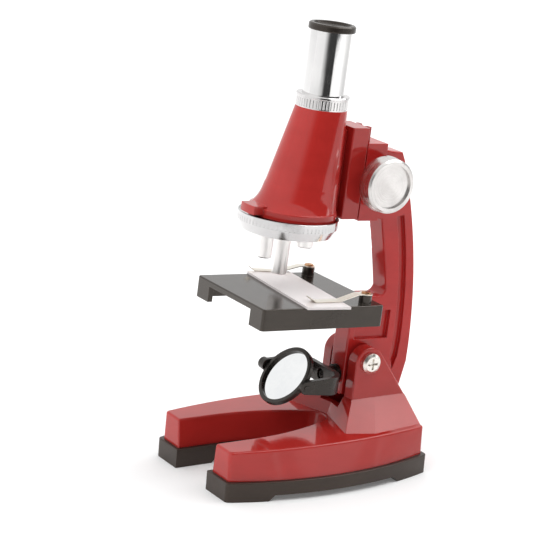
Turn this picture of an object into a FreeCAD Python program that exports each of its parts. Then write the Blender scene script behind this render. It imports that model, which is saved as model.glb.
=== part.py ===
import FreeCAD, Part
import math
import operator
import os
import Sketcher
from FreeCAD import Placement, Rotation, Vector

# Kids microscope. Millimetres, +Z up, the front of the foot towards -Y.
# The origin lies on the ground under the middle of the object's box.
# The arm leans back about the tilt hinge. Everything on the arm is drawn in the
# arm's own axes, x, v and w: v runs backwards and w upwards from the hinge.

DIMENSIONS = {
    # foot: black plate and red shell
    "base_front": -61.1,
    "base_rear": 57.6,
    "base_front_half": 34.0,
    "base_rear_half": 34.6,
    "base_side_radius": 178.0,
    "shell_top_radius": 290.0,
    "plate_height": 9.8,
    "plate_wall": 4.2,
    "plate_floor": 2.2,
    "foot_rise": 3.0,
    "arch_front": -40.3,
    "arch_rear": 35.8,
    "arch_slope": 3.0,
    "gap_half": 14.8,
    "gap_shell_half": 16.6,
    "gap_top_half": 18.2,
    "gap_straight_end": -40.0,
    "gap_end": 12.3,
    "gap_shell_end": 14.0,
    "gap_top_end": 15.5,
    "gap_end_radius": 8.0,
    "shell_ledge": 1.8,
    "foot_corner": 2.5,
    "shell_top": 24.6,
    "shell_wall": 2.2,
    "boss_radius": 3.5,
    "boss_front_x": 28.0,
    "boss_front_y": -28.0,
    "boss_rear_x": 30.0,
    "boss_rear_y": 24.0,
    "screw_radius": 1.25,
    "screw_head_radius": 2.8,
    "screw_head_height": 1.4,
    # pedestal and ears
    "pedestal_top": 36.5,
    "pedestal_front": 21.7,
    "pedestal_rear": 54.3,
    "flare_front_x": 29.0,
    "flare_front_y": 9.3,
    "flare_side_x": 34.5,
    "flare_side_y": 24.0,
    "flare_rear_x": 30.0,
    "flare_rear_y": 55.4,
    "flare_middle_y": 17.5,
    "ear_outer": 14.8,
    "ear_inner": 8.0,
    "ear_radius": 8.5,
    "ear_shoulder_y": 37.92,
    "ear_shoulder_z": 59.4,
    "well_floor": 24.2,
    "well_lip": 30.5,
    "hinge_y": 30.9,
    "hinge_z": 55.2,
    "lean": 3.25,
    "bolt_radius": 2.0,
    "bolt_head_radius": 5.3,
    "bolt_head_height": 3.0,
    "nut_flats": 7.0,
    "nut_height": 3.2,
    "washer_radius": 6.0,
    "running_gap": 0.05,
    # arm
    "arm_half": 6.0,
    "arm_front": -9.4,
    "arm_step_front": -8.6,
    "arm_step": 24.2,
    "shelf_top": 32.4,
    "arm_bottom_front": -19.0,
    "arm_back_radius": 285.6,
    "arm_front_radius": 482.5,
    "channel_depth": 2.0,
    "pocket_depth": 2.2,
    "head_half": 9.0,
    "head_front": -15.7,
    "head_rear": -3.9,
    "head_bottom": 72.8,
    "head_top": 112.0,
    "tongue_front": -26.0,
    "tongue_half": 8.0,
    "tongue_height": 4.0,
    "tongue_screw_v": -20.0,
    "tongue_screw_x": 4.5,
    # stage
    "stage_half": 31.25,
    "stage_front": -79.4,
    "stage_rear": -8.8,
    "stage_top": 35.44,
    "stage_depth": 10.72,
    "stage_skin": 2.84,
    "stage_wall": 2.6,
    "stage_corner": 1.6,
    "stage_leg": 19.4,
    "stage_hole": 5.5,
    "optical_v": -40.65,
    "post_x": 25.75,
    "post_v": -17.0,
    "post_radius": 3.2,
    "post_height": 4.5,
    "clip_thickness": 0.5,
    "clip_half": 2.3,
    "clip_eye": 3.4,
    "clip_length": 33.5,
    "clip_drop": 3.2,
    "rivet_radius": 1.2,
    "slide_length": 65.0,
    "slide_width": 24.0,
    "slide_thickness": 1.2,
    "slide_x": 2.4,
    "slide_v": -41.4,
    "slide_turn": -4.7,
    # focus
    "pinion_v": -9.07,
    "pinion_w": 93.6,
    "gear_module": 0.75,
    "pinion_teeth": 12.0,
    "pinion_half": 2.4,
    "rack_half": 2.5,
    "rack_addendum": 0.5,
    "dedendum": 0.94,
    "tooth_play": 0.1,
    "rack_back": -15.4,
    "rack_teeth": 17.0,
    "shaft_radius": 2.0,
    "shaft_half": 21.0,
    "knob_radius": 14.1,
    "knob_face_radius": 13.6,
    "knob_inner": 16.0,
    "knob_outer": 24.0,
    "knob_recess_radius": 10.9,
    "knob_recess": 1.3,
    "knob_hub": 5.2,
    "carriage_front": -26.0,
    "carriage_rear": -16.0,
    "carriage_bottom": 73.7,
    "carriage_top": 119.6,
    "rail_neck": 3.9,
    "rail_half": 5.6,
    "rail_front": -14.6,
    "rail_rear": -13.0,
    "rail_gap": 0.1,
    # tube
    "cone_bottom": 76.0,
    "cone_top": 128.0,
    "cone_bottom_v": -48.02,
    "cone_bottom_radius": 19.9,
    "cone_top_radius": 12.9,
    "tube_wall": 2.0,
    "turret_v": -51.6,
    "flange_v": -49.3,
    "flange_radius": 21.7,
    "flange_bottom": 74.1,
    "flange_height": 4.2,
    "tube_floor": 2.4,
    "tab_half": 6.0,
    "tab_v": -75.7,
    "tab_radius": 25.0,
    "tab_bottom": 75.5,
    "tab_height": 4.2,
    "collar_top": 134.6,
    "collar_radius": 12.9,
    "collar_lip": 13.3,
    "draw_radius": 10.4,
    "draw_wall": 0.8,
    "draw_bottom": 113.0,
    "draw_top": 165.6,
    "cap_radius": 11.55,
    "cap_top": 168.9,
    "eye_hole": 4.6,
    "eye_lens_radius": 8.8,
    "field_lens_radius": 9.4,
    # turret and objectives
    "turret_radius": 25.0,
    "turret_top": 73.6,
    "turret_bottom": 66.2,
    "turret_lip": 0.75,
    "turret_lip_height": 1.2,
    "turret_taper": 2.2,
    "turret_taper_height": 4.3,
    "objective_circle": 10.95,
    "objective_bore": 2.6,
    "objective_neck": 3.3,
    "pivot_radius": 2.0,
    "detent_circle": 15.6,
    "ball_radius": 1.5,
    # mirror
    "mirror_v": -40.0,
    "mirror_w": -9.6,
    "fork_swivel": 1.0,
    "mirror_rise": 36.0,
    "ring_radius": 16.4,
    "ring_front": 1.4,
    "ring_back": -2.0,
    "ring_floor": 0.8,
    "glass_radius": 14.2,
    "glass_thickness": 1.1,
    "trunnion_radius": 1.3,
    "fork_inner": 16.9,
    "fork_outer": 19.3,
    "fork_half_height": 4.6,
    "fork_tip_radius": 3.3,
    "fork_taper_v": -24.5,
    "fork_bend_v": -26.0,
    "fork_bend_x": 9.5,
    "fork_bar_front": -19.0,
    "fork_bar_rear": -16.2,
    "fork_boss_radius": 4.0,
    "fork_boss_rear": -11.4,
    "fork_washer_radius": 4.9,
}

doc = FreeCAD.newDocument("Microscope")
sheet = doc.addObject("Spreadsheet::Sheet", "Dimensions")
for row, (alias, number) in enumerate(DIMENSIONS.items(), start=1):
    sheet.set(f"A{row}", alias)
    sheet.set(f"B{row}", str(number))
    sheet.setAlias(f"B{row}", alias)
doc.recompute()


class Size:
    """A size from the sheet, or one worked out from such sizes, with its expression."""

    def __init__(self, value, text):
        self.value = value
        self.text = text

    def combine(self, other, sign, rule):
        other = size(other)
        return Size(rule(self.value, other.value), f"({self.text} {sign} {other.text})")

    def __add__(self, other):
        return self.combine(other, "+", operator.add)

    def __sub__(self, other):
        return self.combine(other, "-", operator.sub)

    def __mul__(self, other):
        return self.combine(other, "*", operator.mul)

    def __truediv__(self, other):
        return self.combine(other, "/", operator.truediv)

    def __radd__(self, other):
        return size(other) + self

    def __rsub__(self, other):
        return size(other) - self

    def __rmul__(self, other):
        return size(other) * self

    def __neg__(self):
        return size(0) - self


def size(amount):
    """The amount itself when it is a Size, or a plain number as one."""
    if isinstance(amount, Size):
        return amount
    return Size(float(amount), repr(float(amount)))


class Dimensions:
    """Reads the sheet: d.gap_half is the cell with that alias."""

    def __getattr__(self, alias):
        return Size(float(sheet.get(alias)), f"Dimensions.{alias}")


d = Dimensions()
parts = []

ROW = Placement()
ARM = Placement(
    Vector(0, d.hinge_y.value, d.hinge_z.value),
    Rotation(Vector(1, 0, 0), -d.lean.value),
)


# ---- helpers for bodies, sketches and features ----


def new_body(name, frame=ROW, x=0, v=0, w=0, turn=Rotation()):
    """An empty body whose label names its file, placed in the row's or the arm's axes."""
    body = doc.addObject("PartDesign::Body", name)
    body.Label = name
    body.Placement = frame * Placement(Vector(size(x).value, size(v).value, size(w).value), turn)
    parts.append(body)
    return body


def origin_feature(body, role):
    """One of the body's own origin planes or axes."""
    return next(f for f in body.Origin.OriginFeatures if f.Role == role)


def new_sketch(body, role, offset=0):
    """A sketch on one of the body's own planes, moved along the plane's normal."""
    sketch = body.newObject("Sketcher::SketchObject", body.Name + "_sketch")
    sketch.AttachmentSupport = [(origin_feature(body, role), "")]
    sketch.MapMode = "FlatFace"
    sketch.setExpression("AttachmentOffset.Base.z", size(offset).text)
    return sketch


def bind_constraint(sketch, kind, *where):
    """Adds a constraint whose last argument is a Size and binds it to its expression."""
    *places, amount = where
    index = sketch.addConstraint(Sketcher.Constraint(kind, *places, amount.value))
    sketch.setExpression(f"Constraints[{index}]", amount.text)


def pin_point(sketch, edge, end, x, y):
    """Fixes one end of an edge at sizes from the sketch's origin."""
    for kind, amount, axis in (("DistanceX", size(x), -2), ("DistanceY", size(y), -1)):
        if amount.value == 0:
            sketch.addConstraint(Sketcher.Constraint("PointOnObject", edge, end, axis))
        else:
            bind_constraint(sketch, kind, -1, 1, edge, end, amount)


def arc_between(start, end, radius, side):
    """The shorter arc from start to end; side 1 bulges to the right of the way there."""
    along = end - start
    half = along.Length / 2
    rise = radius - math.sqrt(radius * radius - half * half)
    across = Vector(along.y, -along.x, 0).normalize()
    middle = (start + end) * 0.5 + across * rise * side
    return Part.Arc(start, middle, end) if side > 0 else Part.Arc(end, middle, start)


def add_loop(sketch, corners):
    """A closed outline. A corner is (x, y), or (x, y, radius, side) to start an arc."""
    points = [Vector(size(c[0]).value, size(c[1]).value, 0) for c in corners]
    ends = []
    for index, corner in enumerate(corners):
        start, end = points[index], points[(index + 1) % len(points)]
        if len(corner) == 2:
            edge = sketch.addGeometry(Part.LineSegment(start, end))
            forward = True
        else:
            edge = sketch.addGeometry(arc_between(start, end, size(corner[2]).value, corner[3]))
            forward = corner[3] > 0
            bind_constraint(sketch, "Radius", edge, size(corner[2]))
        ends.append((edge, 1, 2) if forward else (edge, 2, 1))
    for index, (edge, first, last) in enumerate(ends):
        following = ends[(index + 1) % len(ends)]
        pin_point(sketch, edge, first, corners[index][0], corners[index][1])
        sketch.addConstraint(
            Sketcher.Constraint("Coincident", edge, last, following[0], following[1])
        )
    return sketch


def add_circle(sketch, x, y, radius):
    """A full circle."""
    centre = Vector(size(x).value, size(y).value, 0)
    edge = sketch.addGeometry(Part.Circle(centre, Vector(0, 0, 1), size(radius).value))
    pin_point(sketch, edge, 3, x, y)
    bind_constraint(sketch, "Radius", edge, size(radius))
    return sketch


def rectangle(low_x, low_y, high_x, high_y):
    """The corners of a rectangle."""
    return [(low_x, low_y), (high_x, low_y), (high_x, high_y), (low_x, high_y)]


def feature(body, kind, sketch):
    """A new PartDesign feature of the body from a sketch."""
    made = body.newObject("PartDesign::" + kind, body.Name + "_" + kind.lower())
    made.Profile = sketch
    sketch.Visibility = False
    return made


def pad(body, sketch, length, centred=False, flip=False):
    """Adds the sketch's area, drawn out along its normal."""
    made = feature(body, "Pad", sketch)
    made.setExpression("Length", size(length).text)
    made.Midplane = centred
    made.Reversed = flip
    doc.recompute()
    return made


def pocket(body, sketch, length, centred=False, flip=False):
    """Cuts the sketch's area against its normal, or along it when flipped."""
    before = body.Shape.Volume
    made = feature(body, "Pocket", sketch)
    made.setExpression("Length", size(length).text)
    made.Midplane = centred
    made.Reversed = flip
    doc.recompute()
    if body.Shape.Volume >= before - 1e-6:
        raise RuntimeError(f"a pocket in {body.Label} cuts nothing")
    return made


def spin(body, sketch, axis="V_Axis", kind="Revolution"):
    """Turns the sketch right round one of its axes, adding it or cutting a groove."""
    before = body.Shape.Volume if kind == "Groove" else 0
    made = feature(body, kind, sketch)
    made.ReferenceAxis = (sketch, [axis])
    made.Angle = 360
    doc.recompute()
    if kind == "Groove" and body.Shape.Volume >= before - 1e-6:
        raise RuntimeError(f"a groove in {body.Label} cuts nothing")
    return made


def soften(body, radius, wanted):
    """Rounds the edges of the body's last shape that the test on their box accepts."""
    base = body.Tip
    names = [
        f"Edge{index}"
        for index, edge in enumerate(base.Shape.Edges, start=1)
        if wanted(edge.BoundBox)
    ]
    made = body.newObject("PartDesign::Fillet", body.Name + "_fillet")
    made.Base = (base, names)
    made.setExpression("Radius", size(radius).text)
    doc.recompute()
    if made.Shape.isNull() or not made.Shape.isValid():
        raise RuntimeError(f"the rounded edges of {body.Label} failed")
    return made


def level(box, height):
    """Whether an edge's box lies flat at this height."""
    return abs(box.ZMin - height) < 0.01 and abs(box.ZMax - height) < 0.01


def upright(box):
    """Whether an edge's box runs nearly straight up."""
    return box.ZLength > 1 and box.XLength < 2 and box.YLength < 2


def repeat_round(body, made, count, role="Z_Axis"):
    """Repeats a feature evenly round one of the body's axes."""
    pattern = body.newObject("PartDesign::PolarPattern", body.Name + "_pattern")
    pattern.Originals = [made]
    pattern.Axis = (origin_feature(body, role), [""])
    pattern.Angle = 360
    pattern.Occurrences = count
    body.Tip = pattern
    doc.recompute()
    return pattern


def loft(body, sketches, kind="AdditiveLoft", ruled=True):
    """A loft through the sketches, added or cut."""
    before = body.Shape.Volume if kind == "SubtractiveLoft" else 0
    made = feature(body, kind, sketches[0])
    made.Sections = sketches[1:]
    made.Ruled = ruled
    doc.recompute()
    if kind == "SubtractiveLoft" and body.Shape.Volume >= before - 1e-6:
        raise RuntimeError(f"a loft in {body.Label} cuts nothing")
    return made


def turned(name, profile, frame=ROW, x=0, v=0, w=0, turn=Rotation(), plane="XZ_Plane", axis="V_Axis"):
    """A body turned from one half profile; heights are given in the frame's own axes."""
    body = new_body(name, frame, x, v, w, turn)
    spin(body, add_loop(new_sketch(body, plane), profile), axis)
    return body


def group(name, solids):
    """Separate solids that share one node."""
    made = doc.addObject("Part::Compound", name)
    made.Label = name
    made.Links = solids
    for solid in solids:
        parts.remove(solid)
    doc.recompute()
    parts.append(made)
    return made


def cross_slot(body, top, reach, depth, width=0.9):
    """A cross recess cut down into a screw head that faces +Z."""
    for low_x, low_y in ((reach, width / 2), (width / 2, reach)):
        sketch = new_sketch(body, "XY_Plane", top)
        pocket(body, add_loop(sketch, rectangle(-low_x, -low_y, low_x, low_y)), depth)


def pan_screw(name, head_radius, head_height, shank_radius, shank_length, frame, x, v, w, turn):
    """A pan-head screw: its seat at the body's origin, head towards +Z, shank down."""
    body = new_body(name, frame, x, v, w, turn)
    crown = head_height * 0.45
    profile = [
        (0, -size(shank_length)),
        (size(shank_radius) * 0.6, -size(shank_length)),
        (shank_radius, -(size(shank_length) - size(shank_radius))),
        (shank_radius, 0),
        (head_radius, 0),
        (head_radius, head_height - crown),
        (head_radius * 0.72, head_height - crown * 0.3),
        (0, head_height),
    ]
    spin(body, add_loop(new_sketch(body, "XZ_Plane"), profile))
    cross_slot(body, head_height, head_radius * 0.55, head_height * 0.55, 0.22 * size(head_radius).value)
    return body


# ---- foot ----


def gap_curve(gap_half, gap_end):
    """The gap's side radius, and where its side arcs meet the arc at its end."""
    end_radius = d.gap_end_radius
    reach = gap_end - end_radius - d.gap_straight_end
    side_radius = (
        (reach * reach + gap_half * gap_half - end_radius * end_radius)
        / ((gap_half - end_radius) * 2)
    )
    share = side_radius / (side_radius - end_radius)
    meet_x = (side_radius - gap_half) * (share - 1)
    meet_y = d.gap_straight_end + reach * share
    return side_radius, meet_x, meet_y


def side_outline(inset, radius=d.base_side_radius):
    """The plan of the foot without its gap: straight ends and bowed sides."""
    front = d.base_front + inset
    rear = d.base_rear - inset
    front_half = d.base_front_half - inset
    rear_half = d.base_rear_half - inset
    return [
        (-front_half, front),
        (front_half, front, radius, 1),
        (rear_half, rear),
        (-rear_half, rear, radius, 1),
    ]


def gap_outline(gap_half, gap_end):
    """The gap between the two legs, open at the front, with a round end."""
    side_radius, meet_x, meet_y = gap_curve(gap_half, gap_end)
    front = d.base_front - 3
    return [
        (-gap_half, front),
        (gap_half, front),
        (gap_half, d.gap_straight_end, side_radius, 1),
        (meet_x, meet_y, d.gap_end_radius, 1),
        (-meet_x, meet_y, side_radius, 1),
        (-gap_half, d.gap_straight_end),
    ]


def foot_outline(inset, gap_half, gap_end, radius=d.base_side_radius):
    """The horseshoe plan of the foot: the bowed sides and the gap in one outline."""
    side_radius, meet_x, meet_y = gap_curve(gap_half, gap_end)
    front_left, front_right, rear_right, rear_left = side_outline(inset, radius)
    front = front_left[1]
    return [
        (gap_half, front),
        front_right,
        rear_right,
        rear_left,
        front_left,
        (-gap_half, front),
        (-gap_half, d.gap_straight_end, side_radius, -1),
        (-meet_x, meet_y, d.gap_end_radius, -1),
        (meet_x, meet_y, side_radius, -1),
        (gap_half, d.gap_straight_end),
    ]


BOSSES = [
    (side * x, y)
    for x, y in ((d.boss_front_x, d.boss_front_y), (d.boss_rear_x, d.boss_rear_y))
    for side in (1, -1)
]


def make_base_plate():
    """The black tray that closes the foot, arched between its front and rear pads."""
    body = new_body("base_plate")
    outer = add_loop(new_sketch(body, "XY_Plane"), side_outline(size(0)))
    pad(body, outer, d.plate_height)
    soften(body, d.foot_corner, upright)
    soften(body, 0.5, lambda box: level(box, d.plate_height.value))
    gap = add_loop(new_sketch(body, "XY_Plane"), gap_outline(d.gap_half, d.gap_end))
    pocket(body, gap, d.plate_height, flip=True)
    floor = d.foot_rise + d.plate_floor
    inner = new_sketch(body, "XY_Plane", floor)
    add_loop(inner, foot_outline(d.plate_wall, d.gap_half + d.plate_wall, d.gap_end + d.plate_wall))
    pocket(body, inner, d.plate_height - floor, flip=True)
    arch = [
        (d.arch_front, 0),
        (d.arch_rear, 0),
        (d.arch_rear - d.arch_slope, d.foot_rise),
        (d.arch_front + d.arch_slope, d.foot_rise),
    ]
    pocket(body, add_loop(new_sketch(body, "YZ_Plane"), arch), 120, centred=True)
    for radius, top in ((d.screw_radius + 0.25, floor), (d.screw_head_radius + 0.3, d.foot_rise + 1)):
        holes = new_sketch(body, "XY_Plane", top)
        for x, y in BOSSES:
            add_circle(holes, x, y, radius)
        pocket(body, holes, top)
    return body


def side_wedge(side, lean, radius):
    """The area outside one bowed side of the shell; lean draws the side inwards."""
    front = d.base_front + d.shell_ledge
    rear = d.base_rear - d.shell_ledge
    front_half = d.base_front_half - d.shell_ledge - lean
    rear_half = d.base_rear_half - d.shell_ledge - lean
    far = size(60)
    if side > 0:
        return [(front_half, front, radius, 1), (rear_half, rear), (far, rear), (far, front)]
    return [(-front_half, front), (-far, front), (-far, rear), (-rear_half, rear, radius, 1)]


def make_base_shell():
    """The red shell of the foot with its flared pedestal, two ears and screw bosses."""
    body = new_body("base_shell")
    outer = new_sketch(body, "XY_Plane", d.plate_height)
    pad(body, add_loop(outer, side_outline(d.shell_ledge)), d.shell_top - d.plate_height)
    for side in (1, -1):
        low = add_loop(new_sketch(body, "XY_Plane", d.plate_height), side_wedge(side, 0, d.base_side_radius))
        high = add_loop(new_sketch(body, "XY_Plane", d.shell_top), side_wedge(side, 0.3, d.shell_top_radius))
        loft(body, [low, high], "SubtractiveLoft")
    soften(body, d.foot_corner, upright)
    soften(body, 1.2, lambda box: level(box, d.shell_top.value))
    low = new_sketch(body, "XY_Plane", d.plate_height)
    add_loop(low, gap_outline(d.gap_shell_half, d.gap_shell_end))
    high = new_sketch(body, "XY_Plane", d.shell_top)
    add_loop(high, gap_outline(d.gap_top_half, d.gap_top_end))
    loft(body, [low, high], "SubtractiveLoft")
    soften(body, 0.8, lambda box: level(box, d.shell_top.value) and abs(box.Center.x) < 18.5
           and box.YMin > -59 and box.XLength < 17)

    roof = d.shell_top - d.shell_wall
    inset = d.shell_ledge + d.shell_wall
    gap_half, gap_end = d.gap_top_half + d.shell_wall, d.gap_top_end + d.shell_wall
    mouth = new_sketch(body, "XY_Plane", d.plate_height)
    add_loop(mouth, foot_outline(inset, gap_half, gap_end))
    ceiling = new_sketch(body, "XY_Plane", roof)
    add_loop(ceiling, foot_outline(inset + 0.3, gap_half, gap_end, d.shell_top_radius))
    loft(body, [mouth, ceiling], "SubtractiveLoft")

    foot = new_sketch(body, "XY_Plane", d.shell_top - 0.5)
    add_loop(foot, [
        (-d.flare_front_x, d.flare_front_y),
        (0, d.flare_middle_y),
        (d.flare_front_x, d.flare_front_y),
        (d.flare_side_x, d.flare_side_y),
        (d.flare_rear_x, d.flare_rear_y),
        (-d.flare_rear_x, d.flare_rear_y),
        (-d.flare_side_x, d.flare_side_y),
    ])
    brow = new_sketch(body, "XY_Plane", d.pedestal_top)
    add_loop(brow, [
        (-d.ear_outer, d.pedestal_front),
        (0, d.pedestal_front),
        (d.ear_outer, d.pedestal_front),
        (d.ear_outer, d.hinge_y + 5),
        (d.ear_outer, d.pedestal_rear),
        (-d.ear_outer, d.pedestal_rear),
        (-d.ear_outer, d.hinge_y + 5),
    ])
    loft(body, [foot, brow])

    ears = new_sketch(body, "YZ_Plane")
    add_loop(ears, [
        (d.pedestal_front, d.pedestal_top - 2),
        (d.pedestal_rear, d.pedestal_top - 2),
        (d.pedestal_rear, d.pedestal_top),
        (d.ear_shoulder_y, d.ear_shoulder_z, d.ear_radius, 1),
        (d.hinge_y, d.hinge_z - 0.6 + d.ear_radius, d.ear_radius, 1),
        (d.hinge_y - d.ear_radius, d.hinge_z - 0.6),
    ])
    pad(body, ears, d.ear_outer * 2, centred=True)
    soften(body, 0.9, lambda box: abs(abs(box.XMin) - d.ear_outer.value) < 0.01
           and box.XLength < 0.01 and box.ZMax > 37)

    well = new_sketch(body, "YZ_Plane")
    add_loop(well, [
        (d.pedestal_front - 15, d.well_lip),
        (d.pedestal_front + 1.8, d.well_lip),
        (d.pedestal_front + 1.8, d.well_floor),
        (d.pedestal_rear - 7, d.well_floor),
        (d.pedestal_rear + 6, d.pedestal_top - 1),
        (d.pedestal_rear + 6, d.hinge_z + 20),
        (d.pedestal_front - 15, d.hinge_z + 20),
    ])
    pocket(body, well, d.ear_inner * 2, centred=True)

    bosses = new_sketch(body, "XY_Plane", d.foot_rise + d.plate_floor)
    for x, y in BOSSES:
        add_circle(bosses, x, y, d.boss_radius)
    pad(body, bosses, d.shell_top - 0.5 - d.foot_rise - d.plate_floor)
    holes = new_sketch(body, "XY_Plane", d.foot_rise + d.plate_floor)
    for x, y in BOSSES:
        add_circle(holes, x, y, d.screw_radius)
    pocket(body, holes, 13, flip=True)
    hinge = new_sketch(body, "YZ_Plane")
    add_circle(hinge, d.hinge_y, d.hinge_z, d.bolt_radius + d.running_gap)
    pocket(body, hinge, d.ear_outer * 3, centred=True)
    return body


def make_base_screws():
    """Four pan-head screws driven up through the plate into the shell's bosses."""
    down = Rotation(Vector(1, 0, 0), 180)
    screws = [
        pan_screw(
            f"base_screw_{index}", d.screw_head_radius, d.screw_head_height, d.screw_radius,
            13, ROW, x, y, d.foot_rise + 1, down,
        )
        for index, (x, y) in enumerate(BOSSES, start=1)
    ]
    return group("base_screws", screws)


def make_hinge():
    """The tilt bolt through both ears, its nut, and the washers beside the arm."""
    right = Rotation(Vector(0, 1, 0), 90)
    length = d.ear_outer * 2 + d.nut_height + 1
    pan_screw(
        "hinge_bolt", d.bolt_head_radius, d.bolt_head_height, d.bolt_radius, length,
        ROW, d.ear_outer, d.hinge_y, d.hinge_z, right,
    )
    nut = new_body("hinge_nut", ROW, -d.ear_outer - d.nut_height, d.hinge_y, d.hinge_z, right)
    half = d.nut_flats / 2
    corner = d.nut_flats / math.sqrt(3)
    hexagon = [
        (corner, 0), (corner / 2, half), (-corner / 2, half),
        (-corner, 0), (-corner / 2, -half), (corner / 2, -half),
    ]
    pad(nut, add_loop(new_sketch(nut, "XY_Plane"), hexagon), d.nut_height)
    pocket(nut, add_circle(new_sketch(nut, "XY_Plane"), 0, 0, d.bolt_radius), d.nut_height, flip=True)
    washers = []
    for index, side in ((1, 1), (2, -1)):
        profile = rectangle(
            d.bolt_radius + 0.1, d.arm_half + d.running_gap, d.washer_radius, d.ear_inner - 0.02
        )
        turn = Rotation(Vector(0, 1, 0), 90 * side)
        washers.append(
            turned(f"hinge_washer_{index}", profile, ROW, 0, d.hinge_y, d.hinge_z, turn)
        )
    group("hinge_washers", washers)


# ---- arm ----


def make_arm():
    """The red C-shaped arm: lower block, curved limb, head block and stage tongue."""
    body = new_body("arm", ARM)
    side = new_sketch(body, "YZ_Plane")
    add_loop(side, [
        (d.arm_front, d.arm_bottom_front),
        (20.0, -22.0),
        (27.5, -15.4),
        (29.9, -3.0),
        (29.9, 5.0, d.arm_back_radius, 1),
        (10.3, 103.3),
        (8.4, 107.1),
        (d.head_rear - 2, 108.6),
        (d.head_rear - 2, d.head_bottom),
        (1.0, d.head_bottom, d.arm_front_radius, -1),
        (9.9, d.shelf_top + 3.5, 4, -1),
        (6.4, d.shelf_top),
        (d.arm_step_front, d.shelf_top),
        (d.arm_step_front, d.arm_step),
        (d.arm_front, d.arm_step),
    ])
    pad(body, side, d.arm_half * 2, centred=True)
    soften(body, 0.8, lambda box: box.XLength < 0.01)

    head = new_sketch(body, "YZ_Plane")
    add_loop(head, rectangle(d.head_front, d.head_bottom, d.head_rear, d.head_top))
    pad(body, head, d.head_half * 2, centred=True)
    tongue = new_sketch(body, "YZ_Plane")
    low = d.shelf_top - d.tongue_height
    add_loop(tongue, rectangle(d.tongue_front, low, d.arm_step_front + 4, d.shelf_top))
    pad(body, tongue, d.tongue_half * 2, centred=True)

    for offset, flip in ((d.arm_half - d.channel_depth, True), (d.channel_depth - d.arm_half, False)):
        channel = new_sketch(body, "YZ_Plane", offset)
        add_loop(channel, [
            (18.9, 8.0, 235.3, 1),
            (10.2, 74.0),
            (14.7, 74.9, 258.8, -1),
            (23.8, 8.0),
            (23.4, 0.0),
            (21.0, -7.0),
            (18.9, 0.0),
        ])
        pocket(body, channel, 5, flip=flip)
    for offset, flip in ((d.arm_half - d.pocket_depth, True), (d.pocket_depth - d.arm_half, False)):
        recess = new_sketch(body, "YZ_Plane", offset)
        add_loop(recess, rectangle(size(-5.8), size(10.0), size(15.0), size(25.0)))
        pocket(body, recess, 5, flip=flip)

    lower = new_sketch(body, "XY_Plane", d.head_bottom)
    wide = d.rail_half + d.rail_gap
    neck = d.rail_neck + d.rail_gap
    rail_front = d.rail_front - d.rail_gap
    rail_rear = d.rail_rear + 0.6
    add_loop(lower, [
        (-neck, d.head_front - 1), (neck, d.head_front - 1), (neck, rail_front), (wide, rail_front),
        (wide, rail_rear), (-wide, rail_rear), (-wide, rail_front), (-neck, rail_front),
    ])
    pocket(body, lower, d.head_top - d.head_bottom, flip=True)
    gear_room = add_circle(new_sketch(body, "YZ_Plane"), d.pinion_v, d.pinion_w, 5.7)
    pocket(body, gear_room, (d.pinion_half + 0.5) * 2, centred=True)
    shaft_bore = new_sketch(body, "YZ_Plane")
    add_circle(shaft_bore, d.pinion_v, d.pinion_w, d.shaft_radius + d.running_gap)
    pocket(body, shaft_bore, 60, centred=True)
    hinge_bore = add_circle(new_sketch(body, "YZ_Plane"), 0, 0, d.bolt_radius + d.running_gap)
    pocket(body, hinge_bore, 60, centred=True)
    fork_hole = add_circle(new_sketch(body, "XZ_Plane", -d.arm_front), 0, d.mirror_w, d.screw_radius)
    pocket(body, fork_hole, 9)
    tongue_holes = new_sketch(body, "XY_Plane", d.shelf_top)
    for side_x in (d.tongue_screw_x, -d.tongue_screw_x):
        add_circle(tongue_holes, side_x, d.tongue_screw_v, d.screw_radius + 0.25)
    pocket(body, tongue_holes, d.tongue_height)
    return body


def make_stage():
    """The black stage: a plate with skirts, a cut-out front and two clip posts."""
    body = new_body("stage_plate", ARM)
    bottom = d.stage_top - d.stage_depth
    outer = new_sketch(body, "XY_Plane", bottom)
    add_loop(outer, rectangle(-d.stage_half, d.stage_front, d.stage_half, d.stage_rear))
    pad(body, outer, d.stage_depth)
    soften(body, d.stage_corner, upright)
    soften(body, 0.7, lambda box: level(box, d.stage_top.value))
    deep = d.stage_depth - d.stage_skin
    wall = d.stage_wall
    inner = new_sketch(body, "XY_Plane", bottom)
    add_loop(inner, rectangle(
        wall - d.stage_half, d.stage_front + wall, d.stage_half - wall, d.stage_rear - wall
    ))
    pocket(body, inner, deep, flip=True)
    mouth = new_sketch(body, "XY_Plane", bottom)
    add_loop(mouth, rectangle(-d.stage_leg, d.stage_front - 1, d.stage_leg, d.stage_front + wall + 1))
    pocket(body, mouth, deep, flip=True)
    notch = new_sketch(body, "XY_Plane", bottom)
    notch_half = d.tongue_half + 0.3
    add_loop(notch, rectangle(-notch_half, d.stage_rear - wall - 1, notch_half, d.stage_rear + 1))
    pocket(body, notch, deep, flip=True)
    light_hole = add_circle(new_sketch(body, "XY_Plane", d.stage_top), 0, d.optical_v, d.stage_hole)
    pocket(body, light_hole, d.stage_skin)
    posts = new_sketch(body, "XY_Plane", d.stage_top - 1)
    pins = new_sketch(body, "XY_Plane", d.stage_top + d.post_height)
    for side in (1, -1):
        add_circle(posts, d.post_x * side, d.post_v, d.post_radius)
        add_circle(pins, d.post_x * side, d.post_v, d.rivet_radius)
    pad(body, posts, d.post_height + 1)
    pocket(body, pins, 6)
    screw_holes = new_sketch(body, "XY_Plane", d.stage_top - d.stage_skin)
    for side in (1, -1):
        add_circle(screw_holes, d.tongue_screw_x * side, d.tongue_screw_v, d.screw_radius)
    pocket(body, screw_holes, 2, flip=True)
    return body


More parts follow.
